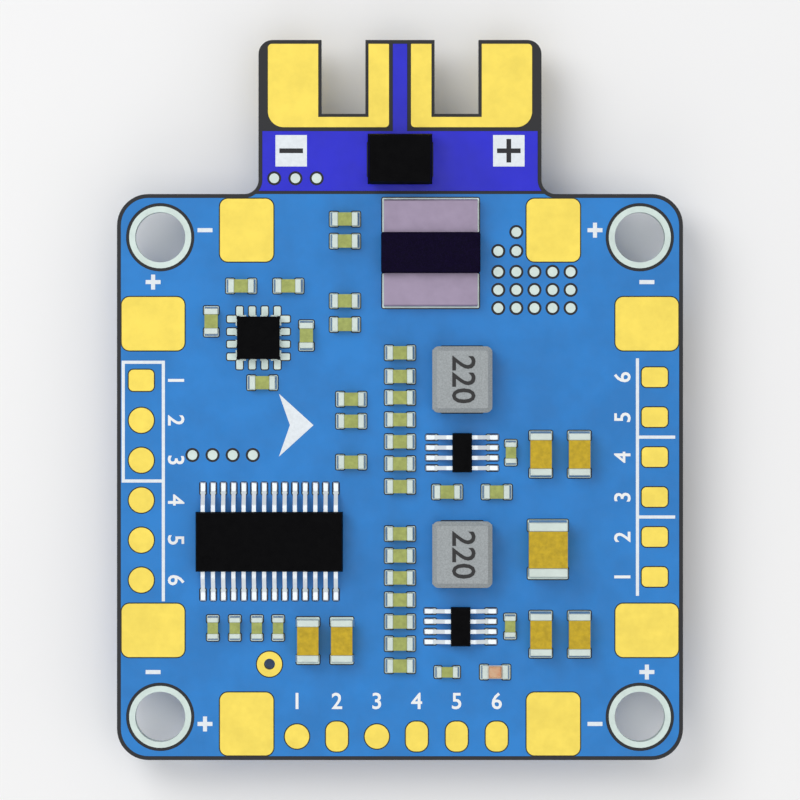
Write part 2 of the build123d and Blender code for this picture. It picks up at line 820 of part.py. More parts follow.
def motor_signs():
    """A mark beside each motor pad, between the pad and its mounting hole."""
    marks = []
    for x, y, width, height, polarity in motor_pads():
        x_side, y_side = (1 if x > 0 else -1), (1 if y > 0 else -1)
        place = (x_side * sign_offset, y) if width < height else (x, y_side * sign_offset)
        marks.append(sign_face(*place, polarity > 0))
    return marks


def header_frames():
    """Lines round the left pad row and beside the right one."""
    x, top, middle, low = left_pad_inset - half_width, 7.3, -0.25, -7.8
    left, right = x - 1.15, x + 1.4
    lines = [(left, (top + middle) / 2, ink_line, top - middle + ink_line),
             (right, (top + low) / 2, ink_line, top - low + ink_line)]
    lines += [((left + right) / 2, y, right - left + ink_line, ink_line) for y in (top, middle)]
    inner = half_width - 2.9
    lines += [(inner, 0, ink_line, top - low)]
    lines += [(inner + 1.2, y, 2.4, ink_line) for y in (signal_pitch, -signal_pitch)]
    return [Pos(x, y) * Rectangle(width, height) for x, y, width, height in lines]


def corner_marks(place, width, height, leg):
    """Corner marks round a part."""
    square = Rectangle(width + 2 * ink_line, height + 2 * ink_line) - Rectangle(width, height)
    gaps = Rectangle(width - 2 * leg, height + 2) + Rectangle(width + 2, height - 2 * leg)
    return Pos(place[0], place[1]) * (square - gaps)


def silkscreen():
    """White ink: frames, polarity marks, the forward arrow and the tab's two sign boxes."""
    arrow = make_face(Polyline((-5.5, 3.3), (-7.7, 5.3), (-7.0, 3.3), (-7.7, 1.3), close=True))
    above = [union(header_frames() + motor_signs() + [arrow])]
    for side, sign in zip((-1, 1), tab_signs()):
        box = Pos(side * tab_sign_offset, half_height + tab_sign_rise) * Rectangle(tab_sign_box, tab_sign_box)
        above.append(box - sign)
    square = processor_span + 1.2
    below = [corner_marks(processor_place, square, square, 1.6),
             corner_marks(crystal_place, crystal_length + 0.9, crystal_width + 0.5, 0.8)] + tab_signs()
    return raised(above, ink, board_thickness + mask) + lowered(below, ink, -mask)


# ---- build --------------------------------------------------------------------------------

# The laminate with its plating, mask and ink
save("circuit_board", [circuit_board()])
save("top_solder_mask", main_mask())
save("tab_solder_mask", tab_mask())
save("bottom_solder_mask", bottom_mask())
save("mounting_hole_rings", [Pos(x, y, 0) * eyelet(ring_diameter, hole_diameter) for x, y in hole_places()])
save("test_eyelet", [Pos(*test_place, 0) * eyelet(test_diameter, test_hole)])
save("positive_motor_pads", raised(motor_faces((1,))))
save("negative_motor_pads", raised(motor_faces((-1,))))
save("battery_positive_pads", battery_pads(1))
save("battery_negative_pads", battery_pads(-1))
save("left_signal_pads", raised(left_faces()))
save("right_signal_pads", raised(right_faces()))
save("bottom_signal_pads", raised(bottom_faces()))
save("stitching_vias", raised(main_via_faces() + tab_via_faces()))
save("top_lands", raised(land_faces(top_lands() + tab_lands())))
save("underside_lands", lowered(land_faces(underside_lands())))
save("silkscreen", silkscreen())

# Chips on the pad face
save("gyro_body", spread([gyro_body()], [gyro_place]))
save("gyro_contacts", spread(gyro_contacts(), [gyro_place]))
save("display_chip_body", spread([moulded(display_chip, high_shoulder, 0.3)], [display_chip_place]))
save("display_chip_leads", spread(
    lead_rows(display_chip_width, display_chip_span, high_shoulder, display_chip_pins, display_chip_pitch,
              sides=(90, 270)), [display_chip_place]))
save("regulator_bodies", spread([Rot(0, 0, 90) * moulded(regulator, low_shoulder, 0.14)], regulator_places))
save("regulator_leads", spread(
    lead_rows(regulator_width, regulator_span, low_shoulder, regulator_pins, regulator_pitch),
    regulator_places))

# Power parts
save("shunt_body", spread([shunt_body()], [shunt_place]))
save("shunt_terminals", spread(shunt_feet(), [shunt_place]))
save("inductor_bodies", spread([inductor_body()], inductor_places))
save("inductor_terminals", spread(inductor_clips(), inductor_places))
save("surge_clamp_body", spread([clamp_body()], [clamp_place]))
save("surge_clamp_terminals", spread(clamp_strips(), [clamp_place]))

# Ceramic parts and lamps
for name, make in (("capacitor_bodies", lambda size: [chip_body(size, capacitor_end_share)]),
                   ("capacitor_terminals", lambda size: chip_ends(size, capacitor_end_share))):
    save(name, spread(make(capacitor), capacitor_places) + spread(make(bulk), [bulk_place]))
for name, size, places, put in (("small_part", small, small_places, on_top),
                                ("narrow_part", narrow, narrow_places, on_top),
                                ("underside_part", small, underside_places, on_underside)):
    save(f"{name}_bodies", spread([chip_body(size)], places, put))
    save(f"{name}_terminals", spread(chip_ends(size), places, put))
for name, shapes in (("lamp_bases", [chip_body(lamp_base)]), ("lamp_terminals", chip_ends(lamp_base)),
                     ("lamp_lenses", [lamp_lens()])):
    save(name, spread(shapes, [lamp_place]) + spread(shapes, underside_lamps, on_underside))

# Chips on the underside
save("processor_body", spread([moulded(processor, high_shoulder, 0.4)], [processor_place], on_underside))
save("processor_leads", spread(
    lead_rows(processor_size, processor_span, high_shoulder, processor_pins, processor_pitch, 0.2,
              (0, 90, 180, 270)), [processor_place], on_underside))
save("crystal_base", spread([crystal_base()], [crystal_place], on_underside))
save("crystal_lid", spread([crystal_lid()], [crystal_place], on_underside))
save("logic_regulator_body", spread([moulded(ldo, low_shoulder, 0.15)], [ldo_place], on_underside))
save("logic_regulator_leads", spread(
    lead_rows(ldo_width, ldo_span, low_shoulder, 3, ldo_pitch, 0.4, (90,), 0.35)
    + lead_rows(ldo_width, ldo_span, low_shoulder, 1, 1, 0.7, (270,), 0.35), [ldo_place], on_underside))

# Port, button and card socket on the underside
save("usb_shell", spread([usb_shell()], [usb_place], on_underside))
save("usb_tongue", spread([usb_block()], [usb_place], on_underside))
save("usb_contacts", spread(usb_contacts(), [usb_place], on_underside))
save("boot_button_base", spread([button_base()], [button_place], on_underside))
save("boot_button_cover", spread([button_cover_plate()], [button_place], on_underside))
save("boot_button_plunger", spread([button_plunger()], [button_place], on_underside))
save("boot_button_dome", spread([button_snap_dome()], [button_place], on_underside))
save("boot_button_terminals", spread(button_legs(), [button_place], on_underside))
save("card_socket_base", spread([socket_base()], [socket_place], on_underside))
save("card_socket_shell", spread([socket_shell()], [socket_place], on_underside))
save("card_socket_contacts", spread(socket_contacts(), [socket_place], on_underside))
save("memory_card", spread([memory_card()], [card_place], on_underside))
save("memory_card_contacts", spread(card_contacts(), [card_place], on_underside))
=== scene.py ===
import json
import math

import bpy
import bmesh
from mathutils import Matrix, Vector


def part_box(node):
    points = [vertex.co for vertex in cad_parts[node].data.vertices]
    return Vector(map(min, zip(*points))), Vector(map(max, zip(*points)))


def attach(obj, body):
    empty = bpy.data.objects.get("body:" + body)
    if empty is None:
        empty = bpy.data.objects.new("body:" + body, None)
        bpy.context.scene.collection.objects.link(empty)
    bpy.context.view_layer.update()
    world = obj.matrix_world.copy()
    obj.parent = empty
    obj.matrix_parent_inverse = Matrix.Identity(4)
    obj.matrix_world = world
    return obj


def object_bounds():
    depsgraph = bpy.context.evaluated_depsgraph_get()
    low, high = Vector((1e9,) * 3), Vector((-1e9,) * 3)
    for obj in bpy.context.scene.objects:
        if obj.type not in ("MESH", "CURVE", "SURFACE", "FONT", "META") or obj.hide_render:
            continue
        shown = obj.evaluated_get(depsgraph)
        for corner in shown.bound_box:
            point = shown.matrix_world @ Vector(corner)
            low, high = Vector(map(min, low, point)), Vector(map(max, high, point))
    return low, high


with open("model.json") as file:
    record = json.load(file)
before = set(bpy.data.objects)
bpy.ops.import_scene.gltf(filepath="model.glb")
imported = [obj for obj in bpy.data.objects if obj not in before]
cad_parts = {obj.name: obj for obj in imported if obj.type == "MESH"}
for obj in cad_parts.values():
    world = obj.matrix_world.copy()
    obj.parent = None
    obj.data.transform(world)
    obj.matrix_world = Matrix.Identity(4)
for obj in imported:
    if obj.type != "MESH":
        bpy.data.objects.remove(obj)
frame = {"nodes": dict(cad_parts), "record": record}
CAD_BOX = [list(corner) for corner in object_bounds()]

bl_info = {
    "name": "Flight Controller Board",
    "version": (1, 0, 0),
    "blender": (4, 5, 0),
    "location": "3D View > Sidebar > Flight Board",
    "description": "Finishes, solder, printed marks and a studio for a flight controller board",
    "category": "Object",
}

MM = 0.001
BOARD_BODY = "board"
MERGE_DISTANCE = 0.0001 * MM
SMOOTH_ANGLE = math.radians(40)
LENS_TINTS = ((0.93, 0.42, 0.20), (0.98, 0.62, 0.36))
INDUCTOR_VALUE = "220"


# ---- sizes and colours ------------------------------------------------------------------


def length(name, description, millimetres):
    return bpy.props.FloatProperty(name=name, description=description, default=millimetres * MM, min=0.0,
                                   precision=5, unit="LENGTH")


def share(name, description, value):
    return bpy.props.FloatProperty(name=name, description=description, default=value, min=0.0, max=1.0,
                                   subtype="FACTOR")


def power(name, description, watts):
    return bpy.props.FloatProperty(name=name, description=description, default=watts, min=0.0, unit="POWER")


def colour(name, description, value):
    return bpy.props.FloatVectorProperty(name=name, description=description, default=value, size=3,
                                         subtype="COLOR", min=0.0, max=1.0)


class BoardColours(bpy.types.PropertyGroup):
    """Base colours of the board's finishes, in linear light."""

    blue_mask: colour("Blue mask", "Solder mask of the main board", (0.009, 0.200, 0.590))
    indigo_mask: colour("Indigo mask", "Solder mask of the power tab", (0.008, 0.009, 0.600))
    laminate: colour("Laminate", "Bare black laminate at edges and openings", (0.016, 0.017, 0.022))
    gold: colour("Gold", "Plating of the power and signal pads", (0.800, 0.625, 0.098))
    tin: colour("Tin", "Tinned rings, vias and lands", (0.550, 0.650, 0.615))
    lead_tin: colour("Lead tin", "Tinned leads of the chips", (0.860, 0.930, 1.000))
    ink: colour("Ink", "White printed marks", (0.840, 0.900, 0.950))
    mould: colour("Mould compound", "Black chip bodies", (0.002, 0.002, 0.0025))
    shunt_coat: colour("Shunt coat", "Dark coat of the current shunt", (0.0045, 0.002, 0.017))
    shunt_metal: colour("Shunt metal", "Feet of the current shunt", (0.330, 0.268, 0.378))
    ferrite: colour("Ferrite", "Moulded body of the inductors", (0.345, 0.375, 0.388))
    amber: colour("Amber ceramic", "Bodies of the large capacitors", (0.560, 0.385, 0.016))
    olive: colour("Olive ceramic", "Bodies of the small parts", (0.370, 0.420, 0.120))
    terminal: colour("Terminal", "Metal ends of the ceramic parts", (0.560, 0.640, 0.600))
    steel: colour("Sheet steel", "Port, card socket and button cover", (0.560, 0.570, 0.580))
    contact: colour("Contact", "Gold contacts", (0.880, 0.620, 0.200))
    black_ink: colour("Black ink", "Printed values on the inductors", (0.006, 0.006, 0.007))
    white_plastic: colour("White plastic", "Bases of the lamps", (0.800, 0.790, 0.740))
    crystal: colour("Crystal ceramic", "Base of the crystal", (0.200, 0.170, 0.140))
    black_plastic: colour("Black plastic", "Inside of the port, card socket and button",
                          (0.014, 0.014, 0.016))
    button: colour("Button plastic", "Plunger of the button", (0.620, 0.550, 0.420))
    card: colour("Card plastic", "Memory card", (0.016, 0.016, 0.019))


class SolderSizes(bpy.types.PropertyGroup):
    """Sizes of the solder at the joints."""

    reach: length("Reach", "Length of a fillet past the metal end", 0.12)
    climb: share("Climb", "How much of the metal end's height solder climbs", 0.62)
    fillet_width: share("Fillet width", "A fillet's width, as a share of the metal end's", 0.96)
    fillet_root: length("Fillet root", "How far a fillet starts inside the metal end", 0.01)
    foot: length("Foot", "Length of a lead's flat foot", 0.50)
    bead_overrun: length("Bead overrun", "Solder past both ends of a foot together", 0.12)
    bead_shift: length("Bead shift", "How far the solder sits outwards of the foot's middle", 0.02)
    bead_width: length("Bead width", "Solder to each side of a lead's foot", 0.05)
    bead_height: length("Bead height", "Height of the solder over a lead's land", 0.10)


class PrintSizes(bpy.types.PropertyGroup):
    """Sizes of the printed marks, and their distances from the pads they number."""

    digit_height: length("Digit height", "Height of a pad number", 1.05)
    value_height: length("Value height", "Height of an inductor's value", 1.5)
    ink: length("Ink", "Thickness of printed ink", 0.02)
    stroke_growth: length("Stroke growth", "How far a letter's strokes are thickened", 0.02)
    left_offset: length("Left offset", "From the left pads to their numbers", 2.15)
    right_offset: length("Right offset", "From the right pads to their numbers", 2.0)
    bottom_offset: length("Bottom offset", "From the bottom pads to their numbers", 2.2)


class StageSizes(bpy.types.PropertyGroup):
    """Camera, floor and lights."""

    view_width: length("View width", "Width of floor that the camera sees", 51.0)
    distance: length("Distance", "Height of the camera over the board", 420.0)
    floor_size: length("Floor size", "Side of the floor", 1600.0)
    key_power: power("Key", "Main light", 0.66)
    fill_power: power("Fill", "Light from the other side", 0.16)
    rim_power: power("Rim", "Light from behind the lower edge", 0.128)
    ceiling_power: power("Ceiling", "Soft light above the camera", 0.80)
    sky: share("Sky", "Brightness of the studio's soft light", 0.45)


# ---- helpers: nodes of a material -----------------------------------------------------------


class Finish:
    """A material with one Principled shader, and short calls for the nodes that feed it."""

    def __init__(self, name, base, roughness, metallic=0.0):
        self.material = bpy.data.materials.new(name)
        self.material.use_nodes = True
        self.tree = self.material.node_tree
        self.shader = self.tree.nodes["Principled BSDF"]
        self.shader.inputs["Base Color"].default_value = (*base, 1.0)
        self.shader.inputs["Roughness"].default_value = roughness
        self.shader.inputs["Metallic"].default_value = metallic
        self.place = self.tree.nodes.new("ShaderNodeTexCoord").outputs["Object"]
        self.normal = None

    def dull(self, level):
        """Lowers the mirror-like share of a non-metal."""
        self.shader.inputs["Specular IOR Level"].default_value = level

    def coat(self, weight, roughness):
        """Adds a thin clear layer."""
        self.shader.inputs["Coat Weight"].default_value = weight
        self.shader.inputs["Coat Roughness"].default_value = roughness

    def stretched(self, scale, turn=(0, 0, 0)):
        """The object's own coordinates, scaled and turned for a pattern with a direction."""
        node = self.tree.nodes.new("ShaderNodeMapping")
        node.inputs["Scale"].default_value = scale
        node.inputs["Rotation"].default_value = turn
        self.tree.links.new(self.place, node.inputs["Vector"])
        return node.outputs["Vector"]

    def noise(self, grain_mm, detail=4.0, roughness=0.55, where=None):
        """Soft random patches about grain_mm across."""
        node = self.tree.nodes.new("ShaderNodeTexNoise")
        node.inputs["Scale"].default_value = 1.0 / (grain_mm * MM)
        node.inputs["Detail"].default_value = detail
        node.inputs["Roughness"].default_value = roughness
        self.tree.links.new(where or self.place, node.inputs["Vector"])
        return node.outputs["Fac"]

    def cells(self, grain_mm):
        """Small pits about grain_mm apart."""
        node = self.tree.nodes.new("ShaderNodeTexVoronoi")
        node.inputs["Scale"].default_value = 1.0 / (grain_mm * MM)
        self.tree.links.new(self.place, node.inputs["Vector"])
        return node.outputs["Distance"]

    def layers(self, pitch_mm, wobble):
        """Level layers pitch_mm apart. A wave of scale 1 repeats every 0.314 m."""
        node = self.tree.nodes.new("ShaderNodeTexWave")
        node.wave_type = "BANDS"
        node.bands_direction = "Z"
        node.inputs["Scale"].default_value = 0.314 / (pitch_mm * MM)
        node.inputs["Distortion"].default_value = wobble
        node.inputs["Detail"].default_value = 2.0
        self.tree.links.new(self.place, node.inputs["Vector"])
        return node.outputs["Fac"]

    def vary_colour(self, value, low, high, start=0.35, end=0.65):
        """Base colour from low to high as the pattern's value goes from start to end."""
        node = self.tree.nodes.new("ShaderNodeValToRGB")
        for point, position, rgb in zip(node.color_ramp.elements, (start, end), (low, high)):
            point.position = position
            point.color = (*rgb, 1.0)
        self.tree.links.new(value, node.inputs["Fac"])
        self.tree.links.new(node.outputs["Color"], self.shader.inputs["Base Color"])

    def vary_roughness(self, value, low, high, start=0.3, end=0.7):
        """Roughness from low to high as the pattern's value goes from start to end."""
        node = self.tree.nodes.new("ShaderNodeMapRange")
        for name, number in (("From Min", start), ("From Max", end), ("To Min", low), ("To Max", high)):
            node.inputs[name].default_value = number
        self.tree.links.new(value, node.inputs["Value"])
        self.tree.links.new(node.outputs["Result"], self.shader.inputs["Roughness"])

    def bump(self, value, depth_mm, strength):
        """Fine relief, added to what the surface already has."""
        node = self.tree.nodes.new("ShaderNodeBump")
        node.inputs["Strength"].default_value = strength
        node.inputs["Distance"].default_value = depth_mm * MM
        self.tree.links.new(value, node.inputs["Height"])
        if self.normal:
            self.tree.links.new(self.normal, node.inputs["Normal"])
        self.normal = node.outputs["Normal"]
        self.tree.links.new(self.normal, self.shader.inputs["Normal"])


def shade(base, factor):
    """A colour made darker or lighter."""
    return tuple(min(channel * factor, 1.0) for channel in base)


# ---- the finishes ---------------------------------------------------------------------------


def mask_finish(name, base):
    """Cured solder mask: a thin gloss coat over an uneven tint, with a fine orange peel."""
    finish = Finish(name, base, 0.38)
    finish.dull(0.28)
    finish.coat(weight=0.15, roughness=0.18)
    finish.vary_colour(finish.noise(3.2, detail=5.0), shade(base, 0.92), shade(base, 1.10))
    finish.vary_roughness(finish.noise(0.9), low=0.30, high=0.46)
    finish.bump(finish.noise(0.22, detail=3.0), depth_mm=0.006, strength=0.35)
    finish.bump(finish.noise(1.6, detail=2.0), depth_mm=0.012, strength=0.30)
    return finish.material


def laminate_finish(base):
    """Black glass-epoxy: woven cloth layers show as fine lines on the cut edges."""
    finish = Finish("laminate", base, 0.62)
    cloth = finish.layers(0.2, wobble=1.4)
    finish.vary_colour(cloth, shade(base, 0.7), shade(base, 2.6), start=0.2, end=0.9)
    finish.bump(cloth, depth_mm=0.01, strength=0.4)
    finish.bump(finish.noise(0.12, detail=6.0, roughness=0.7), depth_mm=0.012, strength=0.5)
    return finish.material


def plated_finish(name, base, roughness, metallic, grain_mm=0.35):
    """Plated copper: a soft grain, faint stains and light handling scratches."""
    finish = Finish(name, base, roughness, metallic)
    scratches = finish.noise(0.5, detail=2.0, where=finish.stretched((1.0, 9.0, 1.0), turn=(0, 0, 0.6)))
    finish.vary_colour(finish.noise(1.3, detail=6.0, roughness=0.6), shade(base, 0.94), shade(base, 1.04))
    finish.vary_roughness(finish.noise(grain_mm, detail=5.0), roughness - 0.05, roughness + 0.08)
    finish.bump(finish.noise(0.09, detail=4.0), depth_mm=0.004, strength=0.35)
    finish.bump(scratches, depth_mm=0.003, strength=0.3)
    return finish.material


def ink_finish(base):
    """Screen-printed ink: slightly uneven and matt."""
    finish = Finish("white_ink", base, 0.55)
    finish.vary_colour(finish.noise(0.25, detail=5.0, roughness=0.7), shade(base, 0.90), base)
    finish.bump(finish.noise(0.08, detail=3.0), depth_mm=0.006, strength=0.4)
    return finish.material


def black_ink_finish(base):
    """Black ink of the printed values."""
    finish = Finish("black_ink", base, 0.5)
    finish.vary_colour(finish.noise(0.2, detail=5.0, roughness=0.7), shade(base, 0.85), shade(base, 1.9))
    finish.bump(finish.noise(0.08, detail=3.0), depth_mm=0.006, strength=0.4)
    return finish.material


def mould_finish(name, base):
    """Epoxy mould compound: matt, with the fine sparkle of its silica filler."""
    finish = Finish(name, base, 0.68)
    finish.dull(0.05)
    filler = finish.noise(0.06, detail=4.0, roughness=0.8)
    finish.vary_colour(filler, shade(base, 0.6), shade(base, 2.4), start=0.45, end=0.75)
    finish.vary_roughness(finish.noise(0.5, detail=4.0), low=0.60, high=0.76)
    finish.bump(finish.noise(0.07, detail=5.0, roughness=0.7), depth_mm=0.008, strength=0.55)
    return finish.material


def ceramic_finish(name, base):
    """Fired ceramic: satin, slightly mottled, with tiny pits."""
    finish = Finish(name, base, 0.42)
    finish.dull(0.22)
    finish.vary_colour(finish.noise(0.35, detail=6.0, roughness=0.65), shade(base, 0.82), shade(base, 1.12))
    finish.vary_roughness(finish.noise(0.3), low=0.34, high=0.52)
    finish.bump(finish.cells(0.09), depth_mm=0.004, strength=0.4)
    return finish.material


def ferrite_finish(base):
    """Pressed iron powder: grey with fine lighter and darker grains."""
    finish = Finish("ferrite", base, 0.56)
    grains = finish.noise(0.09, detail=6.0, roughness=0.75)
    finish.vary_colour(grains, shade(base, 0.78), shade(base, 1.15), start=0.38, end=0.62)
    finish.bump(finish.noise(0.1, detail=6.0, roughness=0.7), depth_mm=0.010, strength=0.5)
    return finish.material


def steel_finish(name, base):
    """Drawn sheet metal with fine lines along the roll direction."""
    finish = Finish(name, base, 0.32, 1.0)
    lines = finish.noise(0.9, detail=5.0, roughness=0.6, where=finish.stretched((1.0, 22.0, 22.0)))
    finish.vary_colour(finish.noise(2.4, detail=4.0), shade(base, 0.88), shade(base, 1.08))
    finish.vary_roughness(lines, low=0.24, high=0.44)
    finish.bump(lines, depth_mm=0.003, strength=0.4)
    return finish.material


def plastic_finish(name, base, roughness=0.45):
    """Moulded plastic with a faint texture from its mould."""
    finish = Finish(name, base, roughness)
    finish.vary_colour(finish.noise(1.2, detail=4.0), shade(base, 0.90), shade(base, 1.10))
    finish.vary_roughness(finish.noise(0.4), roughness - 0.08, roughness + 0.1)
    finish.bump(finish.noise(0.1, detail=4.0), depth_mm=0.005, strength=0.4)
    return finish.material


def lens_finish():
    """Clear resin with the warm tint of the lamp under it."""
    finish = Finish("lens", LENS_TINTS[0], 0.15)
    finish.shader.inputs["Transmission Weight"].default_value = 0.35
    finish.shader.inputs["IOR"].default_value = 1.5
    finish.vary_colour(finish.noise(0.3), *LENS_TINTS)
    finish.bump(finish.noise(0.15), depth_mm=0.004, strength=0.3)
    return finish.material


def finishes(colours):
    """One material for each slot of the record."""
    return {
        "laminate": laminate_finish(colours.laminate),
        "blue_mask": mask_finish("blue_mask", colours.blue_mask),
        "indigo_mask": mask_finish("indigo_mask", colours.indigo_mask),
        "gold_plate": plated_finish("gold_plate", colours.gold, roughness=0.34, metallic=0.6),
        "tin_plate": plated_finish("tin_plate", colours.tin, roughness=0.36, metallic=0.6),
        "white_ink": ink_finish(colours.ink),
        "black_mould": mould_finish("black_mould", colours.mould),
        "lead_tin": plated_finish("lead_tin", colours.lead_tin, roughness=0.34, metallic=0.4, grain_mm=0.2),
        "shunt_coat": mould_finish("shunt_coat", colours.shunt_coat),
        "shunt_metal": plated_finish("shunt_metal", colours.shunt_metal, roughness=0.42, metallic=0.45,
                                     grain_mm=0.6),
        "ferrite": ferrite_finish(colours.ferrite),
        "amber_ceramic": ceramic_finish("amber_ceramic", colours.amber),
        "olive_ceramic": ceramic_finish("olive_ceramic", colours.olive),
        "terminal_tin": plated_finish("terminal_tin", colours.terminal, roughness=0.38, metallic=0.55,
                                      grain_mm=0.15),
        "white_plastic": plastic_finish("white_plastic", colours.white_plastic),
        "lens": lens_finish(),
        "crystal_ceramic": ceramic_finish("crystal_ceramic", colours.crystal),
        "sheet_steel": steel_finish("sheet_steel", colours.steel),
        "black_plastic": plastic_finish("black_plastic", colours.black_plastic),
        "contact_gold": plated_finish("contact_gold", colours.contact, roughness=0.26, metallic=0.9,
                                      grain_mm=0.2),
        "button_plastic": plastic_finish("button_plastic", colours.button, roughness=0.35),
        "card_plastic": plastic_finish("card_plastic", colours.card, roughness=0.40),
    }


# ---- helpers: modelling -----------------------------------------------------------------------


def deselect():
    """Leaves edit mode and selects nothing, so that the next operator acts on its own piece."""
    if bpy.context.object and bpy.context.object.mode != "OBJECT":
        bpy.ops.object.mode_set(mode="OBJECT")
    bpy.ops.object.select_all(action="DESELECT")


def place_in_mesh(piece):
    """Puts a piece's place, turn and scale into its mesh, so its object sits at the origin."""
    deselect()
    piece.select_set(True)
    bpy.context.view_layer.objects.active = piece
    bpy.ops.object.transform_apply(location=True, rotation=True, scale=True)


def close_seams():
    """Merges the doubled points of the active mesh and turns its faces outwards."""
    bpy.ops.object.mode_set(mode="EDIT")
    bpy.ops.mesh.select_all(action="SELECT")
    bpy.ops.mesh.remove_doubles(threshold=MERGE_DISTANCE)
    bpy.ops.mesh.normals_make_consistent(inside=False)
    bpy.ops.object.mode_set(mode="OBJECT")


def select_edges(mesh, wanted):
    """In edit mode, selects the edges whose two corners pass the test."""
    for edge in mesh.edges:
        edge.select = all(wanted(vertex.co) for vertex in edge.verts)


def islands(node_name):
    """Lowest and highest corner of each separate solid in a CAD node."""
    mesh = bmesh.new()
    mesh.from_mesh(frame["nodes"][node_name].data)
    bmesh.ops.remove_doubles(mesh, verts=mesh.verts, dist=MERGE_DISTANCE)
    seen, boxes = set(), []
    for start in mesh.verts:
        if start in seen:
            continue
        group, waiting = [], [start]
        seen.add(start)
        while waiting:
            vertex = waiting.pop()
            group.append(vertex.co)
            for edge in vertex.link_edges:
                other = edge.other_vert(vertex)
                if other not in seen:
                    seen.add(other)
                    waiting.append(other)
        low = Vector([min(co[axis] for co in group) for axis in range(3)])
        high = Vector([max(co[axis] for co in group) for axis in range(3)])
        boxes.append((low, high))
    mesh.free()
    return boxes


def middle_of(box):
    low, high = box
    return (low + high) / 2


def node_centres(name):
    return [middle_of(box) for box in islands(name)]


def upright(out, up):
    """Axes with x along out and z along up, both unit steps along the board's own axes."""
    side = Vector((-out.y, out.x, 0))
    return Matrix((out, side, Vector((0, 0, up)))).transposed().to_4x4()


def step_along(along_x, difference):
    """A unit step along x or y, to the side that the difference lies on."""
    if along_x:
        return Vector((math.copysign(1, difference.x), 0, 0))
    return Vector((0, math.copysign(1, difference.y), 0))


def finish_of(slot):
    return bpy.data.materials[slot]


def belongs_to_board(piece):
    """Makes a piece ride on the board."""
    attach(piece, BOARD_BODY)
    return piece


def stamp(template, places, name, slot):
    """Copies a template's mesh to every place, as one piece, and removes the template."""
    mesh = bmesh.new()
    for place in places:
        start = len(mesh.verts)
        mesh.from_mesh(template.data)
        mesh.verts.ensure_lookup_table()
        bmesh.ops.transform(mesh, matrix=place, verts=mesh.verts[start:])
    for face in mesh.faces:
        face.smooth = True
    bmesh.ops.recalc_face_normals(mesh, faces=mesh.faces)
    data = bpy.data.meshes.new(name)
    mesh.to_mesh(data)
    mesh.free()
    data.materials.append(finish_of(slot))
    piece = bpy.data.objects.new(name, data)
    bpy.context.scene.collection.objects.link(piece)
    bpy.data.objects.remove(template, do_unlink=True)
    deselect()
    piece.select_set(True)
    bpy.context.view_layer.objects.active = piece
    bpy.ops.object.shade_smooth_by_angle(angle=SMOOTH_ANGLE)
    return belongs_to_board(piece)


# ---- solder -------------------------------------------------------------------------------------


def unit_block(middle):
    """A block of side 1, left in edit mode and in edge selection."""
    deselect()
    bpy.ops.mesh.primitive_cube_add(size=1.0, location=middle)
    block = bpy.context.object
    place_in_mesh(block)
    bpy.ops.object.mode_set(mode="EDIT")
    bpy.ops.mesh.select_mode(type="EDGE")
    return block


def fillet_template():
    """A unit block whose outer top edge is scooped out, as solder climbs a metal end."""
    outer, scoop, hollow = 0.9, 0.9, 0.12
    template = unit_block((0.5, 0.0, 0.5))
    mesh = bmesh.from_edit_mesh(template.data)
    select_edges(mesh, lambda co: co.x > outer and co.z > outer)
    bmesh.update_edit_mesh(template.data)
    bpy.ops.mesh.bevel(offset=scoop, offset_type="OFFSET", segments=5, profile=hollow)
    bpy.ops.object.mode_set(mode="OBJECT")
    return template


def bead_template():
    """A unit pillow of solder round a lead's foot: x and y from -0.5 to 0.5, z from 0 to 1."""
    top, taper, rounding = 0.9, 0.72, 0.14
    template = unit_block((0.0, 0.0, 0.5))
    mesh = bmesh.from_edit_mesh(template.data)
    select_edges(mesh, lambda co: co.z > top)
    bmesh.update_edit_mesh(template.data)
    bpy.ops.transform.resize(value=(taper, taper, 1.0), center_override=(0.0, 0.0, 1.0))
    bpy.ops.mesh.bevel(offset=rounding, offset_type="OFFSET", segments=2, profile=0.5)
    bpy.ops.object.mode_set(mode="OBJECT")
    return template


def end_direction(box, boxes):
    """The way out of a chip's metal end: away from the nearest other end."""
    centre = middle_of(box)
    others = [middle_of(other) for other in boxes if other != box]
    near = min(others, key=lambda other: (other - centre).length)
    out = centre - near
    return step_along(abs(out.x) > abs(out.y), out)


def fillet_places(node_name, sizes):
    """A transform of the unit fillet for each metal end of a node's chips."""
    boxes = islands(node_name)
    places = []
    for box in boxes:
        low, high = box
        out = end_direction(box, boxes)
        up = 1.0 if low.z > 0 else -1.0
        size, centre = high - low, middle_of(box)
        along, across = (size.x, size.y) if out.x else (size.y, size.x)
        base = low.z if up > 0 else high.z
        root = Vector((centre.x, centre.y, base)) + out * (along / 2 - sizes.fillet_root)
        scale = Matrix.Diagonal((sizes.reach, across * sizes.fillet_width, size.z * sizes.climb, 1.0))
        places.append(Matrix.Translation(root) @ upright(out, up) @ scale)
    return places


def bead_places(leads, body, sizes):
    """A transform of the unit bead for each lead's foot. The leads point away from their body."""
    bodies = node_centres(body)
    places = []
    for low, high in islands(leads):
        middle, size = middle_of((low, high)), high - low
        nearest = min(bodies, key=lambda centre: (centre - middle).length)
        out = step_along(size.x > size.y, middle - nearest)
        along, across = (size.x, size.y) if size.x > size.y else (size.y, size.x)
        up = 1.0 if middle.z > 0 else -1.0
        base = low.z if up > 0 else high.z
        spot = Vector((middle.x, middle.y, base)) + out * (along / 2 - sizes.foot / 2 + sizes.bead_shift)
        scale = Matrix.Diagonal((sizes.foot + sizes.bead_overrun, across + 2 * sizes.bead_width,
                                 sizes.bead_height, 1.0))
        places.append(Matrix.Translation(spot) @ upright(out, up) @ scale)
    return places


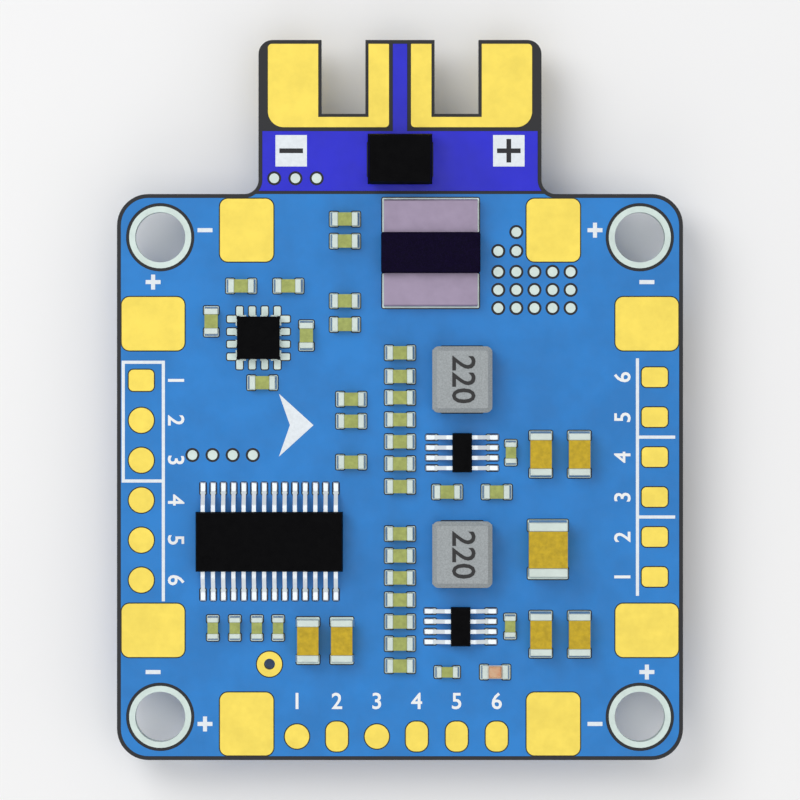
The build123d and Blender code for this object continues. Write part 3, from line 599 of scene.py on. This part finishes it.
# ---- printed marks --------------------------------------------------------------------------------


def printed(text, height, sizes, place, turn=0.0):
    """One flat word as a closed mesh, centred on its place, which is the underside of its ink."""
    size_for_height = 1.38
    deselect()
    bpy.ops.object.text_add(location=place + Vector((0, 0, sizes.ink / 2)), rotation=(0, 0, turn))
    mark = bpy.context.object
    mark.data.body = text
    mark.data.size = height * size_for_height
    mark.data.align_x = "CENTER"
    mark.data.align_y = "CENTER"
    mark.data.resolution_u = 3
    mark.data.offset = sizes.stroke_growth
    mark.data.extrude = sizes.ink / 2
    bpy.ops.object.convert(target="MESH")
    mark = bpy.context.object
    place_in_mesh(mark)
    close_seams()
    return mark


def join(marks, name, material):
    """Joins the printed marks into one piece."""
    deselect()
    for mark in marks:
        mark.select_set(True)
    bpy.context.view_layer.objects.active = marks[0]
    bpy.ops.object.join()
    piece = bpy.context.object
    piece.name = name
    piece.data.name = name
    piece.data.materials.clear()
    piece.data.materials.append(material)
    return belongs_to_board(piece)


# ---- operators --------------------------------------------------------------------------------------


class BOARD_OT_finishes(bpy.types.Operator):
    """Give every part of the board its material"""

    bl_idname = "board.finishes"
    bl_label = "Finishes"

    def execute(self, context):
        materials = finishes(context.scene.board_colours)
        for part in frame["record"]["subparts"]:
            node = frame["nodes"][part["node"]]
            for index in range(len(node.material_slots)):
                node.material_slots[index].material = materials[part["material_slot"]]
        return {"FINISHED"}


class BOARD_OT_chip_solder(bpy.types.Operator):
    """Solder fillets at the metal ends of the ceramic parts and lamps"""

    bl_idname = "board.chip_solder"
    bl_label = "Chip solder"

    def execute(self, context):
        sizes = context.scene.solder_sizes
        places = []
        for node in ("small_part_terminals", "narrow_part_terminals", "capacitor_terminals",
                     "underside_part_terminals", "lamp_terminals"):
            places += fillet_places(node, sizes)
        stamp(fillet_template(), places, "chip_solder", "terminal_tin")
        return {"FINISHED"}


class BOARD_OT_lead_solder(bpy.types.Operator):
    """Pillows of solder round the feet of the chips' leads"""

    bl_idname = "board.lead_solder"
    bl_label = "Lead solder"

    def execute(self, context):
        sizes = context.scene.solder_sizes
        places = []
        for leads, body in (
            ("display_chip_leads", "display_chip_body"),
            ("regulator_leads", "regulator_bodies"),
            ("processor_leads", "processor_body"),
            ("logic_regulator_leads", "logic_regulator_body"),
        ):
            places += bead_places(leads, body, sizes)
        stamp(bead_template(), places, "lead_solder", "lead_tin")
        return {"FINISHED"}


class BOARD_OT_pad_numbers(bpy.types.Operator):
    """Plain numbers beside the three rows of signal pads"""

    bl_idname = "board.pad_numbers"
    bl_label = "Pad numbers"

    def execute(self, context):
        sizes = context.scene.print_sizes
        mask_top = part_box("top_solder_mask")[1].z
        quarter_turn = math.pi / 2
        marks = []
        for node, offset, turn, axis, order in (
            ("left_signal_pads", (sizes.left_offset, 0), -quarter_turn, 1, -1),
            ("right_signal_pads", (-sizes.right_offset, 0), quarter_turn, 1, 1),
            ("bottom_signal_pads", (0, sizes.bottom_offset), 0.0, 0, 1),
        ):
            centres = sorted(node_centres(node), key=lambda centre: centre[axis] * order)
            for number, centre in enumerate(centres, start=1):
                place = Vector((centre.x + offset[0], centre.y + offset[1], mask_top))
                marks.append(printed(str(number), sizes.digit_height, sizes, place, turn))
        join(marks, "pad_numbers", finish_of("white_ink"))
        return {"FINISHED"}


class BOARD_OT_inductor_values(bpy.types.Operator):
    """A plain value on each inductor"""

    bl_idname = "board.inductor_values"
    bl_label = "Inductor values"

    def execute(self, context):
        sizes = context.scene.print_sizes
        marks = []
        for low, high in islands("inductor_bodies"):
            middle = middle_of((low, high))
            place = Vector((middle.x, middle.y, high.z))
            marks.append(printed(INDUCTOR_VALUE, sizes.value_height, sizes, place, -math.pi / 2))
        ink = black_ink_finish(context.scene.board_colours.black_ink)
        join(marks, "inductor_values", ink)
        return {"FINISHED"}


class BOARD_OT_stage(bpy.types.Operator):
    """A pale floor, soft studio light and a camera straight above the board"""

    bl_idname = "board.stage"
    bl_label = "Stage"

    def execute(self, context):
        sizes = context.scene.stage_sizes
        low, high = (Vector(corner) for corner in CAD_BOX)
        middle = middle_of((low, high))
        self.floor(sizes, low, middle)
        self.lights(sizes, middle)
        self.camera(sizes, middle)
        self.sky(sizes)
        context.scene.view_settings.view_transform = "Standard"
        return {"FINISHED"}

    def floor(self, sizes, low, middle):
        deselect()
        bpy.ops.mesh.primitive_plane_add(size=sizes.floor_size, location=(middle.x, middle.y, low.z))
        floor = bpy.context.object
        floor.name = "floor"
        place_in_mesh(floor)
        finish = Finish("floor_paint", (0.94, 0.94, 0.94), 0.75)
        finish.vary_colour(finish.noise(40.0), (0.935, 0.935, 0.94), (0.955, 0.955, 0.955))
        floor.data.materials.append(finish.material)

    def lights(self, sizes, middle):
        for name, watts, side_mm, offset in (
            ("key_light", sizes.key_power, 260, (-210, 190, 330)),
            ("fill_light", sizes.fill_power, 320, (260, -160, 300)),
            ("rim_light", sizes.rim_power, 220, (-60, -330, 220)),
            ("ceiling_light", sizes.ceiling_power, 500, (0, 0, 600)),
        ):
            spot = middle + Vector(offset) * MM
            deselect()
            bpy.ops.object.light_add(type="AREA", location=spot)
            light = bpy.context.object
            light.name = name
            light.data.shape = "SQUARE"
            light.data.size = side_mm * MM
            light.data.energy = watts
            light.rotation_euler = (middle - spot).to_track_quat("-Z", "Y").to_euler()

    def camera(self, sizes, middle):
        deselect()
        spot = middle + Vector((0, 0, sizes.distance))
        bpy.ops.object.camera_add(location=spot, rotation=(0, 0, 0))
        camera = bpy.context.object
        camera.data.lens = camera.data.sensor_width * sizes.distance / sizes.view_width
        camera.data.clip_start = 0.01
        bpy.context.scene.camera = camera

    def sky(self, sizes):
        world = bpy.data.worlds.new("studio")
        world.use_nodes = True
        background = world.node_tree.nodes["Background"]
        background.inputs["Color"].default_value = (1.0, 1.0, 1.0, 1.0)
        background.inputs["Strength"].default_value = sizes.sky
        bpy.context.scene.world = world


class BOARD_PT_panel(bpy.types.Panel):
    """Lists what finishes the board"""

    bl_idname = "BOARD_PT_panel"
    bl_label = "Flight Board"
    bl_space_type = "VIEW_3D"
    bl_region_type = "UI"
    bl_category = "Flight Board"

    def draw(self, context):
        for operator in OPERATORS:
            self.layout.operator(operator.bl_idname)
        for group in SETTINGS:
            settings = getattr(context.scene, group)
            box = self.layout.box()
            for name in settings.__annotations__:
                box.prop(settings, name)


SETTINGS = {"board_colours": BoardColours, "solder_sizes": SolderSizes, "print_sizes": PrintSizes,
            "stage_sizes": StageSizes}
OPERATORS = (BOARD_OT_stage, BOARD_OT_finishes, BOARD_OT_chip_solder, BOARD_OT_lead_solder,
             BOARD_OT_pad_numbers, BOARD_OT_inductor_values)


def register():
    for group, settings in SETTINGS.items():
        bpy.utils.register_class(settings)
        setattr(bpy.types.Scene, group, bpy.props.PointerProperty(type=settings))
    for operator in OPERATORS:
        bpy.utils.register_class(operator)
    bpy.utils.register_class(BOARD_PT_panel)


def unregister():
    bpy.utils.unregister_class(BOARD_PT_panel)
    for operator in reversed(OPERATORS):
        bpy.utils.unregister_class(operator)
    for group, settings in SETTINGS.items():
        delattr(bpy.types.Scene, group)
        bpy.utils.unregister_class(settings)


def main():
    register()
    for operator in OPERATORS:
        group, name = operator.bl_idname.split(".")
        getattr(getattr(bpy.ops, group), name)()


if __name__ == "__main__":
    main()
